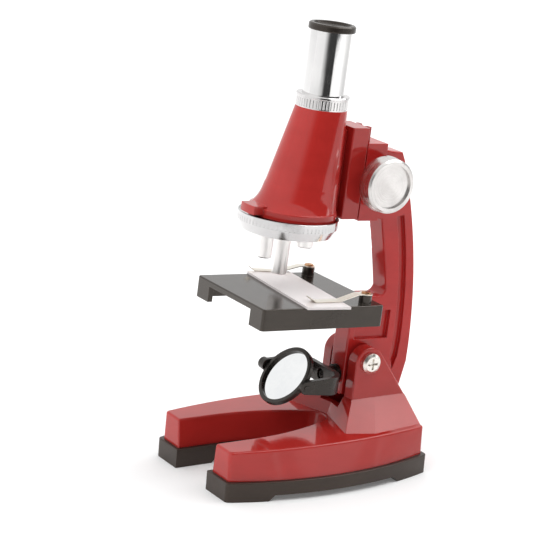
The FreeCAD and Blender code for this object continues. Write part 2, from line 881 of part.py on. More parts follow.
def make_stage_screws():
    """Two screws up through the tongue into the underside of the stage."""
    down = Rotation(Vector(1, 0, 0), 180)
    seat = d.shelf_top - d.tongue_height
    screws = [
        pan_screw(
            f"stage_screw_{index}", d.screw_head_radius - 0.4, d.screw_head_height, d.screw_radius,
            d.tongue_height + 1.9, ARM, d.tongue_screw_x * side, d.tongue_screw_v, seat, down,
        )
        for index, side in ((1, 1), (2, -1))
    ]
    return group("stage_screws", screws)


def make_clip_rivets():
    """The rivets that hold the clips on their posts."""
    rivets = []
    under = d.clip_thickness + d.running_gap * 2
    profile = [
        (0, -5.0), (d.rivet_radius, -5.0), (d.rivet_radius, under),
        (d.rivet_radius + 1.2, under), (d.rivet_radius + 0.9, under + 0.7), (0, under + 1.0),
    ]
    for index, side in ((1, 1), (2, -1)):
        rivets.append(turned(
            f"clip_rivet_{index}", profile, ARM, d.post_x * side, d.post_v,
            d.stage_top + d.post_height,
        ))
    return group("clip_rivets", rivets)


def make_clip(name, side, swing):
    """A spring clip: an eye on the post and a strip that bends down to the slide."""
    height = d.stage_top + d.post_height + d.running_gap
    turn = Rotation(Vector(0, 0, 1), swing)
    body = new_body(name, ARM, d.post_x * side, d.post_v, height, turn)
    rise = d.clip_thickness
    line = [
        (size(-2.0), size(0)), (size(-5.5), size(0)), (size(-16.0), -d.clip_drop),
        (3.4 - d.clip_length, -d.clip_drop), (-d.clip_length, 2.2 - d.clip_drop),
    ]
    strip = line + [(v, w + rise) for v, w in reversed(line)]
    pad(body, add_loop(new_sketch(body, "YZ_Plane"), strip), d.clip_half * 2, centred=True)
    pad(body, add_circle(new_sketch(body, "XY_Plane"), 0, 0, d.clip_eye), rise)
    bore = add_circle(new_sketch(body, "XY_Plane"), 0, 0, d.rivet_radius + d.running_gap)
    pocket(body, bore, rise, flip=True)
    return body


def make_slide():
    """The clear specimen slide that lies on the stage under the clips."""
    turn = Rotation(Vector(0, 0, 1), d.slide_turn.value)
    body = new_body("specimen_slide", ARM, d.slide_x, d.slide_v, d.stage_top + 0.05, turn)
    half_long, half_wide = d.slide_length / 2, d.slide_width / 2
    plan = rectangle(-half_long, -half_wide, half_long, half_wide)
    pad(body, add_loop(new_sketch(body, "XY_Plane"), plan), d.slide_thickness)
    return body


# ---- focus ----


def involute_point(base, radius, half_angle):
    """A point of a tooth flank at this radius; half_angle is the half tooth at the base."""
    roll = math.sqrt((radius / base) ** 2 - 1)
    angle = half_angle - (roll - math.atan(roll))
    return radius * math.cos(angle), radius * math.sin(angle)


def make_pinion():
    """The pinion: involute teeth, one of them pointing at the rack's gap at rest."""
    body = new_body("focus_pinion", ARM, 0, d.pinion_v, d.pinion_w)
    module, teeth = d.gear_module.value, int(d.pinion_teeth.value)
    pitch = module * teeth / 2
    pressure = math.radians(20)
    base = pitch * math.cos(pressure)
    root = pitch - d.dedendum.value
    tip = pitch + module * 0.9
    half_tooth = math.pi / (2 * teeth) - d.tooth_play.value / pitch
    half_angle = half_tooth + math.tan(pressure) - pressure
    disc = add_circle(new_sketch(body, "YZ_Plane"), 0, 0, root + 0.02)
    pad(body, disc, d.pinion_half * 2, centred=True)
    radii = [base + (tip - base) * step / 4 for step in range(5)]
    flank = [involute_point(base, radius, half_angle) for radius in radii]
    inner = (root - 0.2, (root - 0.2) * math.tan(half_angle))
    upper = [inner] + flank
    tooth = [(-along, across) for along, across in upper]
    tooth += [(-along, -across) for along, across in reversed(upper)]
    made = pad(body, add_loop(new_sketch(body, "YZ_Plane"), tooth), d.pinion_half * 2, centred=True)
    repeat_round(body, made, teeth, "X_Axis")
    bore = add_circle(new_sketch(body, "YZ_Plane"), 0, 0, d.shaft_radius)
    pocket(body, bore, 20, centred=True)
    return body


def make_rack():
    """The rack let into the carriage's rail, its teeth facing backwards."""
    body = new_body("focus_rack", ARM)
    pitch = math.pi * d.gear_module.value
    line = d.pinion_v.value - d.gear_module.value * d.pinion_teeth.value / 2
    root = line - d.dedendum.value
    tip = line + d.rack_addendum.value
    slope = math.tan(math.radians(20))
    half_line = pitch / 4 - d.tooth_play.value
    half_root = half_line + d.dedendum.value * slope
    half_tip = half_line - d.rack_addendum.value * slope
    count = int(d.rack_teeth.value)
    first = d.pinion_w.value - (count // 2 + 0.5) * pitch
    corners = [(d.rack_back, first - pitch / 2)]
    corners.append((root, first - pitch / 2))
    for index in range(count):
        middle = first + index * pitch
        corners += [
            (root, middle - half_root), (tip, middle - half_tip),
            (tip, middle + half_tip), (root, middle + half_root),
        ]
    last = first + (count - 1) * pitch
    corners += [(root, last + pitch / 2), (d.rack_back, last + pitch / 2)]
    pad(body, add_loop(new_sketch(body, "YZ_Plane"), corners), d.rack_half * 2, centred=True)
    return body


def make_shaft_and_knobs():
    """The pinion shaft, a knob on each end, and a friction washer behind each knob."""
    right = Rotation(Vector(0, 1, 0), 90)
    half = d.shaft_half
    shaft = [
        (0, -half), (d.shaft_radius - 0.3, -half), (d.shaft_radius, -(half - 0.3)),
        (d.shaft_radius, half - 0.3), (d.shaft_radius - 0.3, half), (0, half),
    ]
    turned("pinion_shaft", shaft, ARM, 0, d.pinion_v, d.pinion_w, right)
    washers = []
    hub_end = d.head_half + 1.1
    knob = [
        (d.shaft_radius, hub_end), (d.knob_hub, hub_end), (d.knob_hub, d.knob_inner + 2),
        (d.knob_radius - 2.2, d.knob_inner + 2), (d.knob_radius - 2.2, d.knob_inner),
        (d.knob_radius, d.knob_inner), (d.knob_radius, d.knob_inner + 1),
        (d.knob_face_radius, d.knob_outer - 1), (d.knob_face_radius - 1, d.knob_outer),
        (d.knob_recess_radius, d.knob_outer), (d.knob_recess_radius, d.knob_outer - d.knob_recess),
        (0, d.knob_outer - d.knob_recess), (0, half), (d.shaft_radius, half),
    ]
    ring = rectangle(d.shaft_radius + 0.1, d.head_half + 0.1, d.knob_hub - 0.4, hub_end - 0.1)
    for name, side in (("right", 1), ("left", -1)):
        turn = Rotation(Vector(0, 1, 0), 90 * side)
        turned(f"focus_knob_{name}", knob, ARM, 0, d.pinion_v, d.pinion_w, turn)
        washers.append(
            turned(f"focus_washer_{name}", ring, ARM, 0, d.pinion_v, d.pinion_w, turn)
        )
    group("focus_washers", washers)


def make_carriage():
    """The red carriage block with the rail that slides in the head block."""
    body = new_body("rack_carriage", ARM)
    plan = new_sketch(body, "XY_Plane", d.carriage_bottom)
    half, neck, rail, slot = d.head_half, d.rail_neck, d.rail_half, d.rack_half
    add_loop(plan, [
        (-half, d.carriage_front), (half, d.carriage_front), (half, d.carriage_rear),
        (neck, d.carriage_rear), (neck, d.rail_front), (rail, d.rail_front), (rail, d.rail_rear),
        (slot, d.rail_rear), (slot, d.rack_back), (-slot, d.rack_back), (-slot, d.rail_rear),
        (-rail, d.rail_rear), (-rail, d.rail_front), (-neck, d.rail_front), (-neck, d.carriage_rear),
        (-half, d.carriage_rear),
    ])
    pad(body, plan, d.carriage_top - d.carriage_bottom)
    soften(body, 0.8, lambda box: upright(box) and abs(abs(box.XMin) - 9) < 0.01)
    for radius, front in ((d.screw_radius + 0.2, d.carriage_front), (2.3, d.rack_back - 2.0)):
        holes = new_sketch(body, "XZ_Plane", -front)
        for w in (84, 108):
            add_circle(holes, 0, w, radius)
        pocket(body, holes, d.rack_back - front)
    return body


def make_carriage_screws():
    """Two screws from behind the rack through the carriage into the tube's web."""
    back = Rotation(Vector(1, 0, 0), -90)
    screws = [
        pan_screw(
            f"carriage_screw_{index}", size(2.2), size(1.5), d.screw_radius, 13.0,
            ARM, 0, d.rack_back - 2.0, w, back,
        )
        for index, w in ((1, 84), (2, 108))
    ]
    return group("carriage_screws", screws)


# ---- tube ----


def disc_sketch(body, w, v, radius):
    """A circle at height w, centred at v."""
    return add_circle(new_sketch(body, "XY_Plane", w), 0, v, radius)


def round_section(body, w, v, radius):
    """A circle at height w drawn as four quarters, so that lofts through it stay straight."""
    radius = size(radius)
    return add_loop(new_sketch(body, "XY_Plane", w), [
        (-radius, v, radius, 1), (0, v - radius, radius, 1),
        (radius, v, radius, 1), (0, v + radius, radius, 1),
    ])


def make_body_tube():
    """The red tube: an oblique hollow cone on a round flange, with a web at its back."""
    body = new_body("body_tube", ARM)
    flange = disc_sketch(body, d.flange_bottom, d.flange_v, d.flange_radius)
    pad(body, flange, d.flange_height)
    soften(body, 0.4, lambda box: box.XLength > 40)
    flange_top = d.flange_bottom + d.flange_height
    skirt = [
        round_section(body, flange_top - 0.1, -49.2, 21.2),
        round_section(body, flange_top + 1.2, -48.6, 20.5),
        round_section(body, flange_top + 3.4, -47.8, 19.6),
        round_section(body, flange_top + 7.0, -46.95, 18.75),
        round_section(body, flange_top + 12.0, -46.0, 17.9),
    ]
    loft(body, skirt, ruled=False)
    tab = new_sketch(body, "XY_Plane", d.tab_bottom)
    add_loop(tab, [
        (-d.tab_half, d.tab_v, d.tab_radius, 1), (d.tab_half, d.tab_v),
        (d.tab_half, d.flange_v - 17), (-d.tab_half, d.flange_v - 17),
    ])
    pad(body, tab, d.tab_height)
    loft(body, [
        round_section(body, d.cone_bottom, d.cone_bottom_v, d.cone_bottom_radius),
        round_section(body, d.cone_top, d.optical_v, d.cone_top_radius),
    ])
    web = new_sketch(body, "XY_Plane", d.carriage_bottom + 4)
    add_loop(web, rectangle(-4, d.carriage_front - 6, 4, d.carriage_front))
    pad(body, web, d.carriage_top - d.carriage_bottom - 6)

    floor = d.flange_bottom + d.tube_floor
    loft(body, [
        round_section(body, floor, d.cone_bottom_v, d.cone_bottom_radius - d.tube_wall),
        round_section(body, d.cone_top - 9, -41.9, 12.2),
    ], "SubtractiveLoft")
    top_bore = disc_sketch(body, d.cone_top, d.optical_v, d.draw_radius + d.running_gap)
    pocket(body, top_bore, 9.5)
    boss = disc_sketch(body, floor - 0.5, d.turret_v, 4.2)
    pad(body, boss, 6)
    aperture = disc_sketch(body, floor, d.optical_v, 4)
    pocket(body, aperture, 10)
    screw_hole = disc_sketch(body, d.flange_bottom, d.turret_v, d.pivot_radius)
    pocket(body, screw_hole, 7, flip=True)
    housing = new_sketch(body, "XY_Plane", floor - 0.5)
    pad(body, add_circle(housing, -d.detent_circle, d.turret_v, 2.7), 3.2)
    detent = new_sketch(body, "XY_Plane", d.flange_bottom)
    add_circle(detent, -d.detent_circle, d.turret_v, d.ball_radius + 0.1)
    pocket(body, detent, 3.4, flip=True)
    web_holes = new_sketch(body, "XZ_Plane", -d.carriage_front)
    for w in (84, 108):
        add_circle(web_holes, 0, w, d.screw_radius)
    pocket(body, web_holes, 5, flip=True)
    return body


def make_collar():
    """The chrome knurled collar on top of the cone."""
    rim = d.collar_radius
    low, high = d.cone_top, d.collar_top
    profile = [
        (d.draw_radius + d.running_gap, low), (rim, low), (rim, high - 1.6), (d.collar_lip, high - 1.3),
        (d.collar_lip, high - 0.4), (d.collar_lip - 0.4, high), (d.draw_radius + d.running_gap, high),
    ]
    body = turned("collar_ring", profile, ARM, 0, d.optical_v)
    flute = add_circle(new_sketch(body, "XY_Plane", low + 0.6), rim + 0.35, 0, 0.55)
    cut = pocket(body, flute, d.collar_top - d.cone_top - 2.6, flip=True)
    repeat_round(body, cut, 48)
    return body


def lens(name, radius, base, edge, rise, x, v):
    """A plano-convex lens: a flat face at base, an edge band, and a spherical crown."""
    radius, base, edge, rise = size(radius), size(base), size(edge), size(rise)
    crown = (rise * rise + radius * radius) / (rise * 2)
    profile = [
        (0, base), (radius, base), (radius, base + edge, crown, 1), (0, base + edge + rise),
    ]
    return turned(name, profile, ARM, x, v)


def make_eyepiece():
    """The draw tube with its cap, eye lens, spacer, field lens and retaining ring."""
    outer, bore = d.draw_radius, d.draw_radius - d.draw_wall
    turned("draw_tube", rectangle(bore, d.draw_bottom, outer, d.draw_top), ARM, 0, d.optical_v)
    seat = d.draw_top - 7
    cap = [
        (bore - 0.9, seat), (bore, seat), (bore, d.draw_top), (d.cap_radius - 0.2, d.draw_top),
        (d.cap_radius, d.draw_top + 0.4), (d.cap_radius, d.cap_top - 0.7),
        (d.cap_radius - 0.7, d.cap_top), (d.cap_radius - 2.2, d.cap_top),
        (d.cap_radius - 2.6, d.cap_top - 0.9), (d.eye_hole + 1.6, d.cap_top - 1.5),
        (d.eye_hole, d.cap_top - 2.4), (d.eye_hole, d.draw_top - 0.3), (bore - 0.9, d.draw_top - 0.3),
    ]
    turned("eyepiece_cap", cap, ARM, 0, d.optical_v)
    lens("eye_lens", d.eye_lens_radius - 0.2, seat + 3.0, 1.6, 2.5, 0, d.optical_v)
    ring = d.draw_bottom + 1
    field = ring + 2
    turned(
        "lens_spacer",
        rectangle(bore - 1.4, field + 3.0, bore, seat), ARM, 0, d.optical_v,
    )
    lens("field_lens", d.field_lens_radius, field, 1.2, 1.7, 0, d.optical_v)
    turned("field_lens_ring", rectangle(bore - 1.6, ring, bore, field), ARM, 0, d.optical_v)


# ---- turret ----

OBJECTIVES = (
    ("long", 300, 41.6, 4.3, 3.8),
    ("short", 60, 60.1, 4.15, 3.9),
    ("medium", 180, 52.8, 3.9, 3.6),
)


def objective_place(angle):
    """Where an objective's axis stands; angle 0 is on the optical axis."""
    turn = math.radians(angle)
    radius = d.objective_circle
    return radius * math.sin(turn), d.turret_v + radius * math.cos(turn)


def make_turret():
    """The chrome turret disc, knurled round its lipped rim, with its three objective bores."""
    low, high, rim = d.turret_bottom, d.turret_top, d.turret_radius
    band = low + d.turret_taper_height
    lip = high + d.turret_lip_height
    profile = [
        (d.pivot_radius + d.running_gap, low), (rim - d.turret_taper, low), (rim, band),
        (rim, lip - 0.2), (rim - 0.2, lip), (rim - d.turret_lip, lip), (rim - d.turret_lip, high),
        (d.pivot_radius + d.running_gap, high),
    ]
    body = turned("turret_disc", profile, ARM, 0, d.turret_v)
    bores = new_sketch(body, "XY_Plane", low)
    for name, angle, tip, top_radius, tip_radius in OBJECTIVES:
        x, v = objective_place(angle)
        add_circle(bores, x, v - d.turret_v, d.objective_neck)
    pocket(body, bores, high - low, flip=True)
    flute = add_circle(new_sketch(body, "XY_Plane", band + 0.4), rim + 0.25, 0, 0.45)
    cut = pocket(body, flute, high - band - 1.0, flip=True)
    repeat_round(body, cut, 72)
    return body


def make_objectives():
    """Three objective barrels, each with its lens and retaining ring."""
    rings = []
    for name, angle, tip, top_radius, tip_radius in OBJECTIVES:
        x, v = objective_place(angle)
        bore, neck = d.objective_bore, d.objective_neck
        low = d.turret_bottom
        barrel = [
            (bore, tip + 2.2), (bore, d.turret_top - 0.2), (neck, d.turret_top - 0.2), (neck, low),
            (top_radius, low), (tip_radius, tip + 0.5), (tip_radius - 0.5, tip), (1.7, tip),
            (1.7, tip + 2.2),
        ]
        turned(f"objective_{name}", barrel, ARM, x, v)
        lens(f"lens_{name}", bore, tip + 2.2, 0.7, 0.8, x, v)
        ring = rectangle(bore - 0.7, tip + 3.9, bore, tip + 5.2)
        rings.append(turned(f"lens_ring_{name}", ring, ARM, x, v))
    group("objective_lens_rings", rings)


def make_turret_fittings():
    """The pivot screw and spring washer under the disc, and the detent ball and spring."""
    down = Rotation(Vector(1, 0, 0), 180)
    seat = d.turret_bottom - 0.75
    pan_screw(
        "turret_screw", size(3.6), size(1.8), d.pivot_radius, 14.5, ARM, 0, d.turret_v, seat, down,
    )
    washer = rectangle(d.pivot_radius + 0.1, seat + 0.02, 3.4, d.turret_bottom - 0.05)
    turned("turret_spring_washer", washer, ARM, 0, d.turret_v)
    ball = d.ball_radius
    half_ball = [(0, -ball, ball, 1), (ball, 0, ball, 1), (0, ball)]
    turned("detent_ball", half_ball, ARM, -d.detent_circle, d.turret_v, d.turret_top + ball + 0.05)
    top = d.flange_bottom + 3.4
    low = d.turret_top + ball * 2 + 0.1
    turned("detent_spring", rectangle(0.5, low, 1.2, top), ARM, -d.detent_circle, d.turret_v)


# ---- mirror ----

FORK = ARM * Placement(Vector(0, 0, d.mirror_w.value), Rotation(Vector(0, 1, 0), d.fork_swivel.value))
MIRROR = FORK * Placement(
    Vector(0, d.mirror_v.value, 0), Rotation(Vector(1, 0, 0), 90 - d.mirror_rise.value)
)


def make_fork():
    """The black fork: two arms, a cross-bar and a boss that turns on the arm's front."""
    body = new_body("mirror_fork", FORK)
    half = d.fork_half_height
    outer, inner, bend = d.fork_outer, d.fork_inner, d.fork_bend_x
    tip = d.mirror_v - d.fork_tip_radius - 0.5
    rear, front = d.fork_bar_rear, d.fork_bar_front
    inner_bend = d.fork_outer - bend - (d.fork_outer - d.fork_inner)
    plan = new_sketch(body, "XY_Plane", -half - 0.5)
    add_loop(plan, [
        (inner, tip), (outer, tip), (outer, d.fork_bend_v, outer - bend, 1),
        (bend, rear), (-bend, rear, outer - bend, 1),
        (-outer, d.fork_bend_v), (-outer, tip), (-inner, tip),
        (-inner, d.fork_bend_v, inner_bend, -1), (-bend, front),
        (bend, front, inner_bend, -1), (inner, d.fork_bend_v),
    ])
    pad(body, plan, (half + 0.5) * 2)
    side = new_sketch(body, "YZ_Plane")
    add_loop(side, rectangle(tip - 2, -half - 3, rear + 2, half + 3))
    radius = d.fork_tip_radius
    add_loop(side, [
        (d.mirror_v, -radius), (d.fork_taper_v, -half), (rear + 1, -half), (rear + 1, half),
        (d.fork_taper_v, half), (d.mirror_v, radius, radius, 1),
        (d.mirror_v - radius, 0, radius, 1),
    ])
    pocket(body, side, 60, centred=True)
    boss = add_circle(new_sketch(body, "XZ_Plane", -d.fork_bar_rear), 0, 0, d.fork_boss_radius)
    pad(body, boss, d.fork_boss_rear - d.fork_bar_rear, flip=True)
    for radius, depth in ((size(2.9), size(2.0)), (d.screw_radius + 0.1, size(12))):
        hole = add_circle(new_sketch(body, "XZ_Plane", -d.fork_bar_front), 0, 0, radius)
        pocket(body, hole, depth)
    pivots = add_circle(new_sketch(body, "YZ_Plane"), d.mirror_v, 0, d.trunnion_radius + d.running_gap)
    pocket(body, pivots, 60, centred=True)
    return body


def make_fork_fittings():
    """The shoulder screw that holds the fork and the washer behind its boss."""
    front = Rotation(Vector(1, 0, 0), 90)
    pan_screw(
        "fork_screw", size(2.6), size(1.7), d.screw_radius, 16.0,
        FORK, 0, d.fork_bar_front + 2.0 - 0.05, 0, front,
    )
    ring = rectangle(
        d.screw_radius + 0.2, d.fork_boss_rear + 0.05, d.fork_washer_radius, d.arm_front
    )
    back = Rotation(Vector(1, 0, 0), -90)
    turned("fork_washer", ring, FORK, 0, 0, 0, back)


def make_mirror():
    """The black mirror ring on its trunnions and the glass set into it."""
    body = new_body("mirror_ring", MIRROR)
    rim, glass = d.ring_radius, d.glass_radius
    floor = d.ring_back + d.ring_floor
    profile = [
        (0, d.ring_back), (rim - 1.0, d.ring_back), (rim, d.ring_back + 1.0), (rim, d.ring_front - 0.4),
        (rim - 0.4, d.ring_front), (glass + 0.1, d.ring_front), (glass, d.ring_front - 0.2),
        (glass, floor), (0, floor),
    ]
    spin(body, add_loop(new_sketch(body, "XZ_Plane"), profile))
    pin = new_sketch(body, "YZ_Plane", glass + 1.2)
    pad(body, add_circle(pin, 0, 0, d.trunnion_radius), d.fork_outer + 0.3 - glass - 1.2)
    pin = new_sketch(body, "YZ_Plane", -(d.fork_outer + 0.5))
    pad(body, add_circle(pin, 0, 0, d.trunnion_radius), d.fork_outer + 0.5 - glass - 1.2)
    button = new_sketch(body, "YZ_Plane", -(d.fork_outer + 2.4))
    pad(body, add_circle(button, 0, 0, 3.1), 2.2)
    disc = rectangle(0, floor, glass, floor + d.glass_thickness)
    turned("mirror_glass", disc, MIRROR)


# ---- build, check and write ----


def check_parts():
    """Stops unless every object is sound and every part is a valid, closed solid."""
    for item in doc.Objects:
        if "Invalid" in item.State or "Error" in item.State:
            raise RuntimeError(f"{item.Label} failed: {item.State}")
    for item in parts:
        if item.Shape.isNull() or not item.Shape.isValid() or not item.Shape.Solids:
            raise RuntimeError(f"{item.Label} has no valid shape")


def main():
    make_base_plate()
    make_base_shell()
    make_base_screws()
    make_hinge()
    make_arm()
    make_stage()
    make_stage_screws()
    make_clip_rivets()
    make_clip("stage_clip_right", 1, -1.3)
    make_clip("stage_clip_left", -1, -12.5)
    make_slide()
    make_pinion()
    make_rack()
    make_shaft_and_knobs()
    make_carriage()
    make_carriage_screws()
    make_body_tube()
    make_collar()
    make_eyepiece()
    make_turret()
    make_objectives()
    make_turret_fittings()
    make_fork()
    make_fork_fittings()
    make_mirror()
    doc.recompute()
    check_parts()
    os.makedirs("parts", exist_ok=True)
    for item in parts:
        item.Shape.exportStep(f"parts/{item.Label}.step")
        box = item.Shape.BoundBox
        print(f"{item.Label}: {item.Shape.Volume:.0f} mm3, {len(item.Shape.Solids)} solid(s), "
              f"x {box.XMin:.1f}..{box.XMax:.1f} y {box.YMin:.1f}..{box.YMax:.1f} "
              f"z {box.ZMin:.1f}..{box.ZMax:.1f}")


main()
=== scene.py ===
import math

import bpy
from mathutils import Matrix, Vector


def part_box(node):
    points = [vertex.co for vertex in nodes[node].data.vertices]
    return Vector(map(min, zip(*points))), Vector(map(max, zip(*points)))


# Looks for the kids microscope. Every visible piece is a node of the CAD frame, so this file only
# adds materials, the studio and the camera.

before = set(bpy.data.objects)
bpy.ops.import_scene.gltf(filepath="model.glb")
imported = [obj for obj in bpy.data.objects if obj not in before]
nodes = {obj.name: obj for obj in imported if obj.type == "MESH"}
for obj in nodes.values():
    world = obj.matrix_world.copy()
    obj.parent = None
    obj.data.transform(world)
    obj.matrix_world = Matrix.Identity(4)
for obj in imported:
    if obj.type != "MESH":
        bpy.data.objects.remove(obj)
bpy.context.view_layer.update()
scene = bpy.context.scene


# ---- node helpers ----

# How closely the softened normal follows the true one on a flat face and on an edge, as a cosine.
ON_FACE, ON_EDGE = 0.995, 0.86
# How far from an edge the normals are softened, in metres.
MOULDED_EDGE = 0.00035
SPUN_EDGE = 0.00025
PLATED_EDGE = 0.0002
CLEAR_EDGE = 0.0002


class Surface:
    """One node material, with short calls for the textures that it is made of."""

    def __init__(self, name):
        self.material = bpy.data.materials.new(name)
        self.material.use_nodes = True
        self.tree = self.material.node_tree
        self.shader = self.tree.nodes["Principled BSDF"]
        self.place = self.tree.nodes.new("ShaderNodeTexCoord").outputs["Object"]

    def add(self, kind, **settings):
        node = self.tree.nodes.new("ShaderNode" + kind)
        for key, value in settings.items():
            setattr(node, key, value)
        return node

    def join(self, source, socket):
        self.tree.links.new(source, socket)

    def put(self, socket, value):
        """Gives a socket a number or a colour, or a link from another socket."""
        if isinstance(value, bpy.types.NodeSocket):
            self.join(value, socket)
        else:
            socket.default_value = value

    def fill(self, node, **values):
        """Sets a node's sockets by name."""
        for key, value in values.items():
            self.put(node.inputs[key.replace("_", " ")], value)
        return node

    def stretch(self, scale, shift=(0, 0, 0)):
        node = self.add("Mapping")
        self.fill(node, Vector=self.place, Scale=scale, Location=shift)
        return node.outputs["Vector"]

    def noise(self, scale, detail=3.0, roughness=0.55, vector=None):
        node = self.add("TexNoise")
        self.fill(node, Vector=vector or self.place, Scale=scale, Detail=detail, Roughness=roughness)
        return node.outputs["Fac"]

    def span(self, value, low, high, to_low, to_high):
        node = self.add("MapRange")
        self.fill(node, Value=value, From_Min=low, From_Max=high, To_Min=to_low, To_Max=to_high)
        return node.outputs["Result"]

    def math(self, operation, first, second):
        node = self.add("Math", operation=operation)
        self.put(node.inputs[0], first)
        self.put(node.inputs[1], second)
        return node.outputs["Value"]

    def blend(self, factor, first, second):
        node = self.add("MixRGB")
        self.fill(node, Fac=factor, Color1=first, Color2=second)
        return node.outputs["Color"]

    def ramp(self, factor, stops):
        node = self.add("ValToRGB")
        self.join(factor, node.inputs["Fac"])
        marks = node.color_ramp.elements
        while len(marks) < len(stops):
            marks.new(0.5)
        for mark, (position, colour) in zip(marks, stops):
            mark.position = position
            mark.color = colour
        return node.outputs["Color"]

    def rounded(self, radius):
        """Normals softened near edges, and how strongly each point lies on an edge."""
        soft = self.add("Bevel", samples=6)
        soft.inputs["Radius"].default_value = radius
        true = self.add("NewGeometry").outputs["Normal"]
        dot = self.add("VectorMath", operation="DOT_PRODUCT")
        self.join(soft.outputs["Normal"], dot.inputs[0])
        self.join(true, dot.inputs[1])
        return soft.outputs["Normal"], self.span(dot.outputs["Value"], ON_FACE, ON_EDGE, 0.0, 1.0)

    def bump(self, height, strength, distance, normal=None):
        node = self.add("Bump")
        self.fill(node, Height=height, Strength=strength, Distance=distance)
        if normal is not None:
            self.join(normal, node.inputs["Normal"])
        return node.outputs["Normal"]

    def finish(self, **values):
        self.fill(self.shader, **values)
        return self.material


def rgb(red, green, blue):
    """A linear colour from sRGB numbers of 0 to 255."""
    def linear(value):
        value /= 255
        return value / 12.92 if value <= 0.04045 else ((value + 0.055) / 1.055) ** 2.4
    return (linear(red), linear(green), linear(blue), 1.0)


# ---- materials of the object ----


def moulded(name, deep, light, edge, smooth, uneven, grain, index=1.48, glint=(1.0, 1.0, 1.0, 1.0)):
    """Moulded plastic: faint colour flow, uneven gloss, fine grain; softened edges, paler from wear and a
    painted highlight.
    """
    s = Surface(name)
    normal, on_edge = s.rounded(MOULDED_EDGE)
    flow = s.noise(38.0, 4.0, 0.6, s.stretch((1.0, 1.0, 2.2)))
    colour = s.blend(s.span(flow, 0.3, 0.7, 0.0, 1.0), deep, light)
    specks = s.noise(5200.0, 2.0)
    colour = s.blend(s.span(specks, 0.66, 0.8, 0.0, 0.08), colour, edge)
    # Edges lightened towards the pale edge colour: partly wear, partly a painted highlight along them.
    wear_and_highlight = s.math("MULTIPLY", on_edge, s.span(s.noise(420.0, 3.0), 0.35, 0.7, 0.25, 0.8))
    colour = s.blend(wear_and_highlight, colour, edge)
    gloss = s.noise(160.0, 4.0, 0.65)
    rough = s.span(gloss, 0.3, 0.75, smooth - uneven / 2, smooth + uneven)
    rough = s.math("ADD", rough, s.math("MULTIPLY", on_edge, 0.06))
    ripple = s.bump(s.noise(45.0, 2.0), 0.05, 0.0004, normal)
    fine = s.bump(s.noise(3800.0, 3.0), grain, 0.00006, ripple)
    return s.finish(Base_Color=colour, Roughness=rough, Normal=fine, IOR=index, Specular_Tint=glint)


def plated(name, base, tint, smooth, line=(900.0, 900.0, 40.0), depth=0.04):
    """Bright plate: slight tint in patches, hairline polishing marks and handling haze."""
    s = Surface(name)
    normal, on_edge = s.rounded(PLATED_EDGE)
    patch = s.noise(55.0, 3.0)
    colour = s.blend(s.span(patch, 0.35, 0.7, 0.0, 1.0), base, tint)
    hair = s.noise(1.0, 4.0, 0.6, s.stretch(line))
    haze = s.span(s.noise(120.0, 5.0, 0.7), 0.45, 0.8, 0.0, 0.10)
    rough = s.math("ADD", s.span(hair, 0.3, 0.7, smooth, smooth + 0.06), haze)
    rough = s.math("ADD", rough, s.math("MULTIPLY", on_edge, 0.08))
    return s.finish(
        Base_Color=colour, Metallic=1.0, Roughness=rough,
        Normal=s.bump(hair, depth, 0.00003, normal),
    )


def spun(name, base, tint, centre, smooth):
    """A lathe-faced knob: fine rings round its own axis, which lies along X."""
    s = Surface(name)
    normal, on_edge = s.rounded(SPUN_EDGE)
    away = s.stretch((0.0, 1.0, 1.0), shift=(0.0, -centre[1], -centre[2]))
    reach = s.add("VectorMath", operation="LENGTH")
    s.join(away, reach.inputs[0])
    rings = s.add("TexNoise", noise_dimensions="1D")
    s.fill(rings, W=reach.outputs["Value"], Scale=5200.0, Detail=3.0)
    sweep = s.noise(60.0, 4.0, 0.6, away)
    colour = s.blend(s.span(sweep, 0.35, 0.65, 0.0, 1.0), base, tint)
    rough = s.math("ADD", s.span(rings.outputs["Fac"], 0.3, 0.7, smooth, smooth + 0.08),
                   s.math("MULTIPLY", on_edge, 0.05))
    return s.finish(
        Base_Color=colour, Metallic=1.0, Roughness=rough,
        Normal=s.bump(rings.outputs["Fac"], 0.10, 0.00004, normal),
    )


def clear(name, colour, smooth, see_through, tint):
    """Clear glass or plastic with faint smears and dust on its faces, and edges whitened as a painted
    highlight.
    """
    s = Surface(name)
    normal, on_edge = s.rounded(CLEAR_EDGE)
    smear = s.noise(90.0, 5.0, 0.7, s.stretch((1.0, 2.6, 1.0)))
    dust = s.span(s.noise(2600.0, 2.0), 0.68, 0.8, 0.0, 0.5)
    mixed = s.blend(s.span(smear, 0.4, 0.75, 0.0, 0.5), colour, tint)
    # Dust specks pale the faces; the whitened edges are a painted highlight.
    mixed = s.blend(s.math("MAXIMUM", dust, s.math("MULTIPLY", on_edge, 0.6)), mixed, rgb(246, 244, 242))
    rough = s.span(smear, 0.35, 0.8, smooth, smooth + 0.10)
    return s.finish(
        Base_Color=mixed, Roughness=rough, IOR=1.5, Transmission_Weight=see_through,
        Normal=s.bump(smear, 0.03, 0.0001, normal),
    )


def silvered(name):
    """The mirror: silver with a few dust specks and a soft haze in patches."""
    s = Surface(name)
    haze = s.noise(80.0, 4.0, 0.6)
    colour = s.blend(s.span(haze, 0.4, 0.75, 0.0, 1.0), rgb(247, 248, 248), rgb(236, 238, 240))
    dust = s.span(s.noise(2400.0, 2.0), 0.70, 0.8, 0.0, 0.22)
    rough = s.math("ADD", s.span(haze, 0.4, 0.8, 0.02, 0.05), dust)
    return s.finish(Base_Color=colour, Metallic=1.0, Roughness=rough)


knob_low, knob_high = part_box("focus_knob_right")
knob_centre = (knob_low + knob_high) / 2
# The tint of the glint on dark plastic.
WARM = (1.0, 0.90, 0.82, 1.0)
